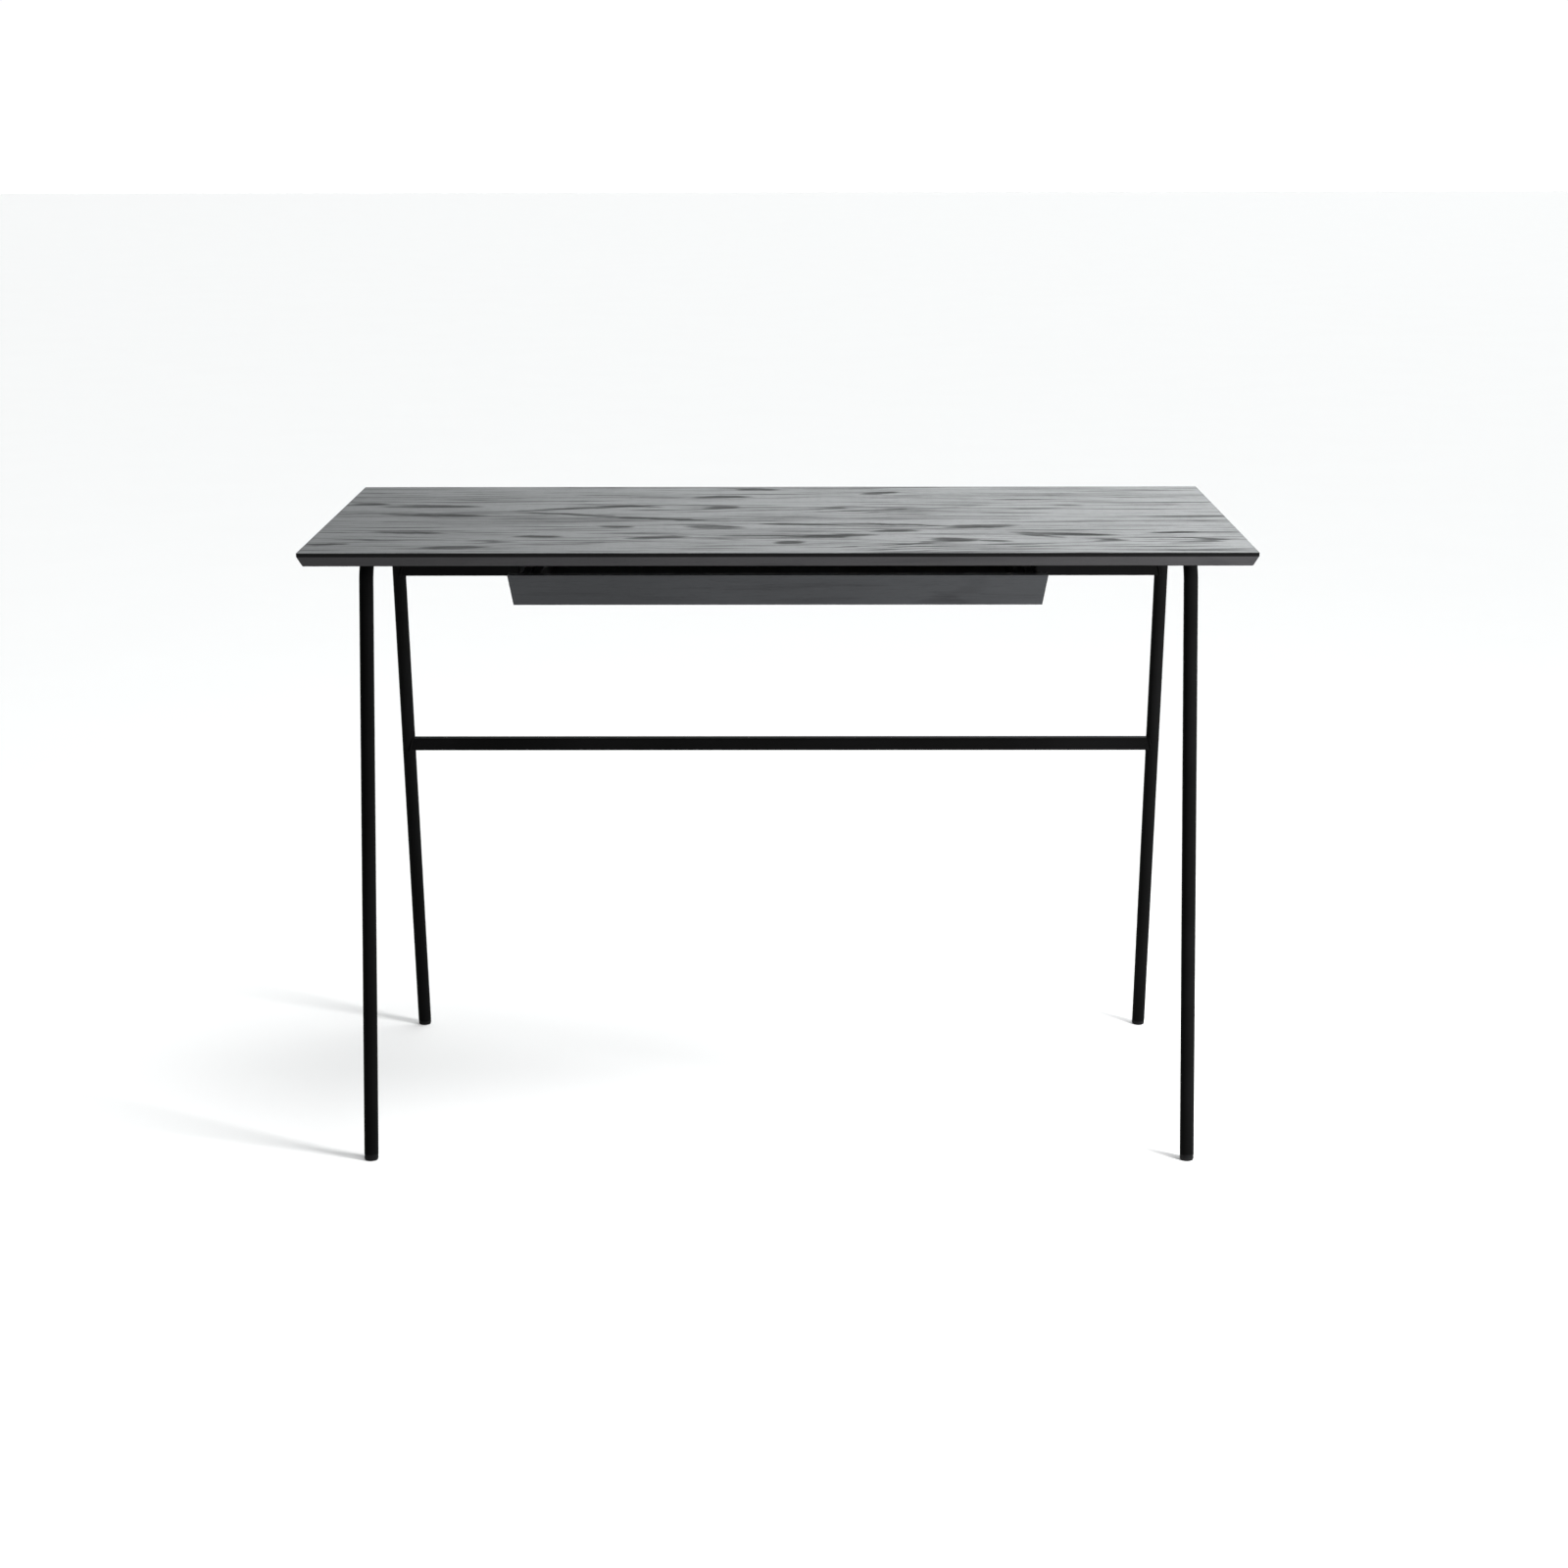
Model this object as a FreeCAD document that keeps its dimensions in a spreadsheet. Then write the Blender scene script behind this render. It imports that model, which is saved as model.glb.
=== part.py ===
import FreeCAD, Part
import os
import math
import Sketcher

# Writing desk: a thin under-bevelled top on two bent-tube side frames, joined at the back by
# a high rail and a lower stretcher, with one shallow drawer on full-extension slides.
# Millimetres. +X right, +Y to the back, +Z up, origin on the floor under the middle of the top.

os.makedirs("parts", exist_ok=True)
doc = FreeCAD.newDocument("writing_desk")
Vec = FreeCAD.Vector
Con = Sketcher.Constraint

DIMENSIONS = [
    ("top_width", 1100.0, "overall width, along X"),
    ("top_depth", 560.0, "overall depth, along Y"),
    ("desk_height", 740.0, "floor to work surface"),
    ("veneer", 0.6, "sheet thickness on both faces of the top"),
    ("square_edge", 4.0, "height of the upright part of the edge, veneer included"),
    ("bevel_height", 12.0, "height of the sloped part of the edge"),
    ("bevel_inset", 6.0, "how far the bevel runs in below"),
    ("lipping_width", 22.0, "solid edging, measured at its widest"),
    ("tube_diameter", 17.0, "side frame tube"),
    ("tube_wall", 1.5, "wall of every tube"),
    ("frame_inset", 59.0, "end of the top to the side frame centre line"),
    ("foot_inset", 16.5, "front edge of the top to the leg axis at floor level"),
    ("splay", 10.05, "leg lean from upright, degrees"),
    ("bend_radius", 40.0, "centre line radius of the tube bends"),
    ("foot_rise", 7.0, "length of leg axis below the tube end"),
    ("rail_side", 16.0, "side of the square rails"),
    ("rail_drop", 72.0, "underside of the top to the centre of the upper rail"),
    ("stretcher_z", 412.0, "centre height of the stretcher"),
    ("tab_thickness", 3.0, "fixing plate"),
    ("tab_length", 40.0, "fixing plate along Y"),
    ("tab_reach", 28.0, "fixing plate from the tube axis"),
    ("tab_y", 80.0, "fixing plate centre to the middle of the desk"),
    ("screw_diameter", 3.5, "wood screw body"),
    ("screw_fit", 0.1, "radial room around a screw body"),
    ("drawer_inset", 40.0, "front edge of the top to the drawer front"),
    ("finger_gap", 16.5, "underside of the top to the drawer front"),
    ("front_height", 35.5, "drawer front"),
    ("front_width", 626.4, "drawer front along its upper edge"),
    ("front_slope", 6.1, "how far the front and its ends run in at the bottom"),
    ("front_thickness", 18.0, "drawer front at its upper edge"),
    ("box_width", 576.0, "outside of the drawer sides"),
    ("box_depth", 330.0, "length of the drawer sides"),
    ("box_rise", 2.0, "lower edge of the front to the lower edge of the sides"),
    ("box_height", 29.5, "drawer sides"),
    ("board", 10.0, "drawer side and back thickness"),
    ("panel", 4.0, "drawer bottom thickness"),
    ("panel_rise", 3.0, "lower edge of the sides to the bottom panel"),
    ("groove_depth", 5.0, "groove for the bottom panel"),
    ("groove_fit", 0.1, "room around the bottom panel in its groove"),
    ("slide_height", 26.0, "drawer slide, outer member"),
    ("slide_length", 300.0, "drawer slide, closed"),
    ("slide_width", 12.0, "drawer side to hanger plate"),
    ("slide_metal", 1.2, "sheet of the slide members"),
    ("slide_gap", 0.5, "running gap between the slide members"),
    ("slide_rise", 15.0, "lower edge of the sides to the centre of the slides"),
    ("hanger_metal", 2.0, "sheet of the hangers"),
    ("hanger_flange", 20.0, "width of the hanger flange under the top"),
    ("hanger_drop", 51.0, "height of the hanger below the top"),
]

sheet = doc.addObject("Spreadsheet::Sheet", "Dims")
for row, (name, number, note) in enumerate(DIMENSIONS, start=1):
    sheet.set("A%d" % row, name)
    sheet.set("B%d" % row, str(number))
    sheet.set("C%d" % row, note)
    sheet.setAlias("B%d" % row, name)
doc.recompute()

nodes = []


def value(expression):
    """Number for an expression in the sheet's names, so that shapes follow the sheet."""
    result = sheet.evalExpression(expression)
    return float(getattr(result, "Value", result))


def new_body(label):
    body = doc.addObject("PartDesign::Body", label)
    body.Label = label
    nodes.append(body)
    return body


def plane(body, role):
    return [f for f in body.Origin.OriginFeatures if f.Role == role][0]


def place(body, x="0", y="0", z="0"):
    """Position of a body, bound to the sheet."""
    body.setExpression("Placement.Base.x", x)
    body.setExpression("Placement.Base.y", y)
    body.setExpression("Placement.Base.z", z)


def new_sketch(body, name, role, offset=None):
    """Sketch on one of the body's own planes; offset is the distance along its normal."""
    sketch = body.newObject("Sketcher::SketchObject", name)
    sketch.AttachmentSupport = [(plane(body, role), "")]
    sketch.MapMode = "FlatFace"
    if offset is not None:
        sketch.setExpression("AttachmentOffset.Base.z", offset)
    return sketch


def bind(sketch, constraint, expression):
    index = sketch.addConstraint(constraint)
    label = "size%d" % index
    sketch.renameConstraint(index, label)
    sketch.setExpression("Constraints." + label, expression)


def hold(sketch, geometry, point, x, y):
    """Hold a point of the sketch at x, y, both expressions in the sheet's names."""
    for kind, expression in (("DistanceX", x), ("DistanceY", y)):
        bind(sketch, Con(kind, -1, 1, geometry, point, value(expression)), expression)


def outline(sketch, points):
    """Closed outline through points given as pairs of expressions."""
    here = [Vec(value(x), value(y), 0) for x, y in points]
    first = sketch.GeometryCount
    count = len(points)
    for i in range(count):
        sketch.addGeometry(Part.LineSegment(here[i], here[(i + 1) % count]))
    for i in range(count):
        sketch.addConstraint(Con("Coincident", first + i, 2, first + (i + 1) % count, 1))
    for i, (x, y) in enumerate(points):
        hold(sketch, first + i, 1, x, y)


def rectangle(sketch, x0, y0, x1, y1):
    outline(sketch, [(x0, y0), (x1, y0), (x1, y1), (x0, y1)])


def circle(sketch, x, y, radius):
    centre = Vec(value(x), value(y), 0)
    index = sketch.addGeometry(Part.Circle(centre, Vec(0, 0, 1), value(radius)))
    hold(sketch, index, 3, x, y)
    bind(sketch, Con("Radius", index, value(radius)), radius)


def pad(body, sketch, length, reverse=False, symmetric=False):
    feature = body.newObject("PartDesign::Pad", sketch.Name + "_pad")
    feature.Profile = sketch
    feature.setExpression("Length", length)
    feature.Reversed = reverse
    feature.Midplane = symmetric
    sketch.Visibility = False
    doc.recompute()
    return feature


def pocket(body, sketch, length=None, reverse=False, symmetric=False):
    feature = body.newObject("PartDesign::Pocket", sketch.Name + "_pocket")
    feature.Profile = sketch
    if length is None:
        feature.Type = "ThroughAll"
    else:
        feature.setExpression("Length", length)
    feature.Reversed = reverse
    feature.Midplane = symmetric
    sketch.Visibility = False
    doc.recompute()
    return feature


def mirror_of(label, source, axis):
    """The same piece on the other side of the desk; axis is the mirror's normal."""
    piece = doc.addObject("Part::Mirroring", label)
    piece.Label = label
    piece.Source = source
    piece.Normal = axis
    nodes.append(piece)
    doc.recompute()
    return piece


# Derived sizes, written once as expressions.
HALF_W = "Dims.top_width / 2"
HALF_D = "Dims.top_depth / 2"
UNDER = "Dims.desk_height - Dims.square_edge - Dims.bevel_height"
FRAME_X = "(%s - Dims.frame_inset)" % HALF_W
FOOT_Y = "(%s - Dims.foot_inset)" % HALF_D
RAIL_Z = "(%s - Dims.rail_drop)" % UNDER
FRONT_Y = "(Dims.drawer_inset - %s)" % HALF_D
FRONT_TOP = "(%s - Dims.finger_gap)" % UNDER
FRONT_BOTTOM = "(%s - Dims.front_height)" % FRONT_TOP
BOX_BOTTOM = "(%s + Dims.box_rise)" % FRONT_BOTTOM
SLIDE_Z = "(%s + Dims.slide_rise)" % BOX_BOTTOM
CORE_TOP = "Dims.desk_height - Dims.veneer"
CORE_LOW = "(%s) + Dims.veneer" % UNDER
TUBE_R = "Dims.tube_diameter / 2"
RUN_Z = "(%s) - %s" % (UNDER, TUBE_R)
SCREW_R = "Dims.screw_diameter / 2"
HOLE_R = "%s + Dims.screw_fit" % SCREW_R
BOX_X = "Dims.box_width / 2"
BOX_FRONT = "%s + Dims.front_thickness" % FRONT_Y
SLIDE_FRONT = "%s + 2" % BOX_FRONT
HANGER_X = "%s + Dims.slide_width" % BOX_X
FLANGE_X = "%s + Dims.hanger_metal + 9" % HANGER_X
HANGER_SCREW_Y = ["%s + %d" % (SLIDE_FRONT, step) for step in (30, 150, 270)]
TAB_SCREW_X = FRAME_X + " - 19"
TAB_SCREW_Y = ["Dims.tab_y - 12", "Dims.tab_y + 12"]
HANGER_SPOTS = [("%s(%s)" % (side, FLANGE_X), y) for side in ("", "-") for y in HANGER_SCREW_Y]
TAB_SPOTS = [
    ("%s(%s)" % (side, TAB_SCREW_X), "%s(%s)" % (end, y))
    for side in ("", "-")
    for end in ("", "-")
    for y in TAB_SCREW_Y
]


def screw_holes(body, name, role, spots, radius, length=None, offset=None, **options):
    sketch = new_sketch(body, name, role, offset)
    for x, y in spots:
        circle(sketch, x, y, radius)
    return pocket(body, sketch, length, **options)


# --- The top: core board, solid lipping on four sides, veneer over both faces. -------------

EDGE_X = "(%s - Dims.lipping_width)" % HALF_W
EDGE_Y = "(%s - Dims.lipping_width)" % HALF_D

core = new_body("tabletop_core")
core_outline = new_sketch(core, "core_outline", "XY_Plane", CORE_LOW)
rectangle(core_outline, "-" + EDGE_X, "-" + EDGE_Y, EDGE_X, EDGE_Y)
pad(core, core_outline, "(%s) - (%s)" % (CORE_TOP, CORE_LOW))
screw_holes(core, "core_pilots", "XY_Plane", TAB_SPOTS + HANGER_SPOTS, HOLE_R, "10", CORE_LOW, reverse=True)

top_veneer = new_body("top_veneer")
top_veneer_outline = new_sketch(top_veneer, "top_veneer_outline", "XY_Plane", CORE_TOP)
rectangle(top_veneer_outline, "-(%s)" % HALF_W, "-(%s)" % HALF_D, HALF_W, HALF_D)
pad(top_veneer, top_veneer_outline, "Dims.veneer")

UNDER_X = "(%s - Dims.bevel_inset)" % HALF_W
UNDER_Y = "(%s - Dims.bevel_inset)" % HALF_D
LOW_SLOPE = "Dims.bevel_inset * Dims.veneer / Dims.bevel_height"

under_veneer = new_body("underside_veneer")
under_outline = new_sketch(under_veneer, "underside_outline", "XY_Plane", UNDER)
rectangle(under_outline, "-" + UNDER_X, "-" + UNDER_Y, UNDER_X, UNDER_Y)
pad(under_veneer, under_outline, "Dims.veneer")
screw_holes(
    under_veneer, "underside_pilots", "XY_Plane", TAB_SPOTS + HANGER_SPOTS, HOLE_R, "2", UNDER, reverse=True
)


def lipping(label, half_length, half_across):
    """Solid edging with an upright nosing and a bevel below, mitred at both ends."""
    body = new_body(label)
    section = new_sketch(body, label + "_section", "YZ_Plane")
    outer = "-(%s)" % half_across
    bevel = "-(%s) + Dims.bevel_inset" % half_across
    inner = "-(%s) + Dims.lipping_width" % half_across
    outline(section, [
        (inner, CORE_LOW),
        (inner, CORE_TOP),
        (outer, CORE_TOP),
        (outer, "Dims.desk_height - Dims.square_edge"),
        ("%s - %s" % (bevel, LOW_SLOPE), CORE_LOW),
    ])
    pad(body, section, "2 * (%s)" % half_length, symmetric=True)
    for side, end in (("", "_near"), ("-", "_far")):
        mitre = new_sketch(body, label + end + "_mitre", "XY_Plane", CORE_LOW + " - 1")
        tip = "%s(%s + 5)" % (side, half_length)
        heel = "%s(%s - Dims.lipping_width - 3)" % (side, half_length)
        outline(mitre, [(tip, outer + " - 5"), (tip, inner + " + 3"), (heel, inner + " + 3")])
        pocket(body, mitre, "30", reverse=True)
    return body


front_lipping = lipping("front_lipping", HALF_W, HALF_D)
rear_lipping = mirror_of("rear_lipping", front_lipping, Vec(0, 1, 0))
left_lipping = lipping("left_lipping", HALF_D, HALF_W)
left_lipping.Placement = FreeCAD.Placement(Vec(0, 0, 0), FreeCAD.Rotation(Vec(0, 0, 1), -90))
right_lipping = mirror_of("right_lipping", left_lipping, Vec(1, 0, 0))

# --- Side frames: one round tube each, down, over and down again, with glides in the ends. --

LEAN = "(Dims.splay * 1 deg)"
TOP_Y = "(%s - (%s) * tan(%s))" % (FOOT_Y, RUN_Z, LEAN)
TUBE_END_Y = "(%s - Dims.foot_rise * sin(%s))" % (FOOT_Y, LEAN)
TUBE_END_Z = "Dims.foot_rise * cos(%s)" % LEAN


def frame_spine(body):
    """Centre line of a side frame: two leaning legs, two bends and the level run between."""
    spine = new_sketch(body, body.Label + "_spine", "YZ_Plane", "-" + FRAME_X)
    lean = math.radians(value("Dims.splay"))
    radius = value("Dims.bend_radius")
    run_z = value(RUN_Z)
    top_y = value(TOP_Y)
    setback = radius * math.tan((math.pi / 2 - lean) / 2)
    knee_y = top_y + setback * math.sin(lean)
    knee_z = run_z - setback * math.cos(lean)
    run_y = top_y - setback
    foot = (value(TUBE_END_Y), value(TUBE_END_Z))
    up = Vec(0, 0, 1)
    left_arc = Part.Circle(Vec(-run_y, run_z - radius, 0), up, radius)
    right_arc = Part.Circle(Vec(run_y, run_z - radius, 0), up, radius)
    for piece in (
        Part.LineSegment(Vec(-foot[0], foot[1], 0), Vec(-knee_y, knee_z, 0)),
        Part.ArcOfCircle(left_arc, math.pi / 2, math.pi - lean),
        Part.LineSegment(Vec(-run_y, run_z, 0), Vec(run_y, run_z, 0)),
        Part.ArcOfCircle(right_arc, lean, math.pi / 2),
        Part.LineSegment(Vec(knee_y, knee_z, 0), Vec(foot[0], foot[1], 0)),
    ):
        spine.addGeometry(piece)
    spine.addConstraint([
        Con("Tangent", 0, 2, 1, 2),
        Con("Tangent", 1, 1, 2, 1),
        Con("Tangent", 2, 2, 3, 2),
        Con("Tangent", 3, 1, 4, 1),
        Con("Symmetric", 0, 1, 4, 2, -2),
        Con("Symmetric", 2, 1, 2, 2, -2),
        Con("Equal", 1, 3),
    ])
    bind(spine, Con("Radius", 1, radius), "Dims.bend_radius")
    bind(spine, Con("DistanceY", -1, 1, 2, 1, run_z), RUN_Z)
    hold(spine, 4, 2, TUBE_END_Y, TUBE_END_Z)
    bind(spine, Con("Angle", 4, lean - math.pi / 2), "(Dims.splay - 90) * 1 deg")
    doc.recompute()
    return spine


def side_frame(label):
    body = new_body(label)
    spine = frame_spine(body)
    section = body.newObject("Sketcher::SketchObject", label + "_section")
    section.AttachmentSupport = [(spine, "Edge1")]
    section.MapMode = "NormalToEdge"
    section.MapPathParameter = 0
    circle(section, "0", "0", TUBE_R)
    circle(section, "0", "0", "%s - Dims.tube_wall" % TUBE_R)
    doc.recompute()
    tube = body.newObject("PartDesign::AdditivePipe", label + "_tube")
    tube.Profile = section
    tube.Spine = (spine, [])
    doc.recompute()
    return body


left_side_frame = side_frame("left_side_frame")
right_side_frame = mirror_of("right_side_frame", left_side_frame, Vec(1, 0, 0))


def foot_glide(label):
    """Plastic glide: a stem inside the tube, a rounded head below it, cut level at the floor."""
    body = new_body(label)
    profile = new_sketch(body, label + "_profile", "XZ_Plane")
    head = "%s - 0.1" % TUBE_R
    stem = "%s - Dims.tube_wall - 0.05" % TUBE_R
    outline(profile, [
        ("0", "-2"),
        ("%s - 3.2" % head, "-2"),
        ("%s - 1" % head, "-0.6"),
        (head, "1.8"),
        (head, "Dims.foot_rise"),
        (stem, "Dims.foot_rise"),
        (stem, "Dims.foot_rise + 14"),
        ("%s - 1" % stem, "Dims.foot_rise + 16"),
        ("0", "Dims.foot_rise + 16"),
    ])
    turned = body.newObject("PartDesign::Revolution", label + "_turned")
    turned.Profile = profile
    turned.ReferenceAxis = (profile, ["V_Axis"])
    turned.Angle = 360
    profile.Visibility = False
    doc.recompute()
    level = new_sketch(body, label + "_level", "YZ_Plane")
    rise = "15 * tan(%s)" % LEAN
    outline(level, [("-15", rise), ("15", "-" + rise), ("15", "-25"), ("-15", "-25")])
    pocket(body, level, "40", symmetric=True)
    place(body, "-" + FRAME_X, FOOT_Y, "0")
    body.Placement = FreeCAD.Placement(body.Placement.Base, FreeCAD.Rotation(Vec(1, 0, 0), 1))
    body.setExpression("Placement.Rotation.Angle", "Dims.splay")
    doc.recompute()
    return body


rear_left_foot = foot_glide("rear_left_foot")
front_left_foot = mirror_of("front_left_foot", rear_left_foot, Vec(0, 1, 0))
rear_right_foot = mirror_of("rear_right_foot", rear_left_foot, Vec(1, 0, 0))
front_right_foot = mirror_of("front_right_foot", rear_right_foot, Vec(0, 1, 0))

# --- Square rails between the rear legs, ends coped to the round tubes. ---------------------


def leg_cutter(name, side):
    """Outside of a rear leg, used to cope the rail ends."""
    leg = doc.addObject("Part::Cylinder", name)
    leg.setExpression("Radius", TUBE_R)
    leg.setExpression("Height", "Dims.desk_height")
    leg.Placement = FreeCAD.Placement(Vec(0, 0, 0), FreeCAD.Rotation(Vec(1, 0, 0), 1))
    place(leg, side + FRAME_X, FOOT_Y, "0")
    leg.setExpression("Placement.Rotation.Angle", "Dims.splay")
    return leg


def cross_rail(label, height):
    tube = doc.addObject("PartDesign::Body", label + "_tube")
    section = new_sketch(tube, label + "_section", "YZ_Plane")
    centre = "(%s - %s * tan(%s))" % (FOOT_Y, height, LEAN)
    for inset in ("0", "Dims.tube_wall"):
        half = "(Dims.rail_side / 2 - %s)" % inset
        rectangle(
            section,
            "%s - %s" % (centre, half),
            "%s - %s" % (height, half),
            "%s + %s" % (centre, half),
            "%s + %s" % (height, half),
        )
    pad(tube, section, "2 * (%s - 3)" % FRAME_X, symmetric=True)
    legs = doc.addObject("Part::Compound", label + "_legs")
    legs.Links = [leg_cutter(label + "_leg_left", "-"), leg_cutter(label + "_leg_right", "")]
    rail = doc.addObject("Part::Cut", label)
    rail.Label = label
    rail.Base = tube
    rail.Tool = legs
    nodes.append(rail)
    doc.recompute()
    return rail


rear_rail = cross_rail("rear_rail", RAIL_Z)
stretcher = cross_rail("stretcher", "Dims.stretcher_z")

# --- Fixing plates welded to the level run of each side frame. -------------------------------


def fixing_tab(label):
    body = new_body(label)
    section = new_sketch(body, label + "_section", "XZ_Plane")
    rectangle(
        section,
        "-(%s - 3)" % FRAME_X,
        "(%s) - Dims.tab_thickness" % UNDER,
        "-(%s - Dims.tab_reach)" % FRAME_X,
        UNDER,
    )
    pad(body, section, "Dims.tab_length", symmetric=True)
    cope = new_sketch(body, label + "_cope", "XZ_Plane")
    circle(cope, "-" + FRAME_X, RUN_Z, TUBE_R)
    pocket(body, cope, "Dims.tab_length + 20", symmetric=True)
    spots = [("-(%s)" % TAB_SCREW_X, "-12"), ("-(%s)" % TAB_SCREW_X, "12")]
    screw_holes(body, label + "_holes", "XY_Plane", spots, HOLE_R, symmetric=True)
    place(body, "0", "Dims.tab_y", "0")
    doc.recompute()
    return body


rear_left_tab = fixing_tab("rear_left_tab")
front_left_tab = mirror_of("front_left_tab", rear_left_tab, Vec(0, 1, 0))
rear_right_tab = mirror_of("rear_right_tab", rear_left_tab, Vec(1, 0, 0))
front_right_tab = mirror_of("front_right_tab", rear_right_tab, Vec(0, 1, 0))


def pins(label, rows):
    """Group of like fasteners.

    Each row: plane, seat, spots, shank radius, shank length, ahead, head radius, head height.
    The seat is the distance of the head's underside along the plane's normal. The shank runs
    along the normal when ahead is true, against it when not, and the head stands the other way.
    A head radius of None makes a plain pin.
    """
    body = new_body(label)
    for i, (role, seat, spots, radius, length, ahead, head_radius, head) in enumerate(rows):
        shanks = new_sketch(body, "%s_shank%d" % (label, i), role, seat)
        for x, y in spots:
            circle(shanks, x, y, radius)
        pad(body, shanks, length, reverse=not ahead)
        if head_radius is None:
            continue
        heads = new_sketch(body, "%s_head%d" % (label, i), role, seat)
        for x, y in spots:
            circle(heads, x, y, head_radius)
        pad(body, heads, head, reverse=ahead)
    return body


tab_screws = pins("tab_screws", [
    ("XY_Plane", "(%s) - Dims.tab_thickness" % UNDER, TAB_SPOTS, SCREW_R, "12", True, "3.4", "2.2"),
])
hanger_screws = pins("hanger_screws", [
    ("XY_Plane", "(%s) - Dims.hanger_metal" % UNDER, HANGER_SPOTS, SCREW_R, "11", True, "3.4", "2.2"),
])

# --- Hangers and slides. The right hand ones are drawn, the left hand ones mirrored. ---------

SLIDE_MIDDLE = "%s + Dims.slide_length / 2" % SLIDE_FRONT
SLIDE_SCREW_STEPS = ["-110", "0", "110"]
BOLT_SPOTS = [("%s + %s" % (SLIDE_MIDDLE, step), SLIDE_Z) for step in SLIDE_SCREW_STEPS]
OUTER_X = HANGER_X
MIDDLE_X = "(%s - Dims.slide_metal - Dims.slide_gap)" % OUTER_X


def side_holes(body, name, radius, steps):
    """Holes through a slide member or hanger, along X."""
    sketch = new_sketch(body, name, "YZ_Plane")
    for step in steps:
        circle(sketch, step, SLIDE_Z, radius)
    pocket(body, sketch, symmetric=True)


def channel(label, web, toward, reach, half_height, holes):
    """U channel along Y. Its web is at x = web, and the flanges run by reach toward -1 or +1."""
    body = new_body(label)
    section = new_sketch(body, label + "_section", "XZ_Plane")
    sign = "+" if toward > 0 else "-"
    inner_x = "%s %s Dims.slide_metal" % (web, sign)
    end_x = "%s %s %s" % (web, sign, reach)
    low = "%s - (%s)" % (SLIDE_Z, half_height)
    high = "%s + (%s)" % (SLIDE_Z, half_height)
    outline(section, [
        (web, low),
        (end_x, low),
        (end_x, low + " + Dims.slide_metal"),
        (inner_x, low + " + Dims.slide_metal"),
        (inner_x, high + " - Dims.slide_metal"),
        (end_x, high + " - Dims.slide_metal"),
        (end_x, high),
        (web, high),
    ])
    pad(body, section, "Dims.slide_length", symmetric=True)
    if holes:
        side_holes(body, label + "_holes", HOLE_R, SLIDE_SCREW_STEPS)
    place(body, "0", SLIDE_MIDDLE, "0")
    doc.recompute()
    return body


def hanger(label):
    body = new_body(label)
    section = new_sketch(body, label + "_section", "XZ_Plane")
    wall = "%s + Dims.hanger_metal" % HANGER_X
    outline(section, [
        (HANGER_X, "(%s) - Dims.hanger_drop" % UNDER),
        (wall, "(%s) - Dims.hanger_drop" % UNDER),
        (wall, "(%s) - Dims.hanger_metal" % UNDER),
        ("%s + Dims.hanger_flange" % HANGER_X, "(%s) - Dims.hanger_metal" % UNDER),
        ("%s + Dims.hanger_flange" % HANGER_X, UNDER),
        (HANGER_X, UNDER),
    ])
    pad(body, section, "Dims.slide_length", symmetric=True)
    side_holes(body, label + "_bolt_holes", HOLE_R, SLIDE_SCREW_STEPS)
    flange_spots = [(FLANGE_X, "%d - Dims.slide_length / 2" % step) for step in (30, 150, 270)]
    screw_holes(body, label + "_screw_holes", "XY_Plane", flange_spots, HOLE_R, symmetric=True)
    place(body, "0", SLIDE_MIDDLE, "0")
    doc.recompute()
    return body


STEP_IN = "(Dims.slide_metal + Dims.slide_gap)"
HALF_SLIDE = "Dims.slide_height / 2"
right_hanger = hanger("right_hanger")
right_outer = channel("right_slide_outer", OUTER_X, -1, "9.5", HALF_SLIDE, True)
right_middle = channel(
    "right_slide_middle", MIDDLE_X, -1, "8.3", "%s - %s" % (HALF_SLIDE, STEP_IN), False
)
right_inner = channel(
    "right_slide_inner", BOX_X, 1, "8.6", "%s - 2 * %s" % (HALF_SLIDE, STEP_IN), True
)
for label, source in (
    ("left_hanger", right_hanger),
    ("left_slide_outer", right_outer),
    ("left_slide_middle", right_middle),
    ("left_slide_inner", right_inner),
):
    mirror_of(label, source, Vec(1, 0, 0))

slide_bolts = pins("slide_bolts", [
    ("YZ_Plane", "%s + Dims.hanger_metal" % HANGER_X, BOLT_SPOTS, SCREW_R,
     "Dims.hanger_metal + Dims.slide_metal", False, "3.4", "2"),
    ("YZ_Plane", "-(%s + Dims.hanger_metal)" % HANGER_X, BOLT_SPOTS, SCREW_R,
     "Dims.hanger_metal + Dims.slide_metal", True, "3.4", "2"),
])
slide_screws = pins("slide_screws", [
    ("YZ_Plane", "%s + Dims.slide_metal" % BOX_X, BOLT_SPOTS, SCREW_R, "8", False, "3.4", "2"),
    ("YZ_Plane", "-(%s + Dims.slide_metal)" % BOX_X, BOLT_SPOTS, SCREW_R, "8", True, "3.4", "2"),
])

# --- The drawer. ------------------------------------------------------------------------------

FRONT_HALF = "Dims.front_width / 2"
BOX_TOP = BOX_BOTTOM + " + Dims.box_height"
BOX_BACK = "%s + Dims.box_depth" % BOX_FRONT
PANEL_Z = BOX_BOTTOM + " + Dims.panel_rise"
PANEL_TOP = PANEL_Z + " + Dims.panel"
SIDE_IN = "%s - Dims.board" % BOX_X
DOWEL_Z = [BOX_BOTTOM + " + 12.5", BOX_BOTTOM + " + 23.5"]
DOWEL_X = "%s - Dims.board / 2" % BOX_X
DOWEL_SPOTS = [("%s(%s)" % (side, DOWEL_X), z) for side in ("", "-") for z in DOWEL_Z]
BACK_Y = "%s - Dims.board / 2" % BOX_BACK
BACK_SPOTS = [(BACK_Y, z) for z in DOWEL_Z]
PANEL_SPOTS = [(x, BACK_Y) for x in ("-180", "0", "180")]
XZ_AT = "-(%s)"


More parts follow.
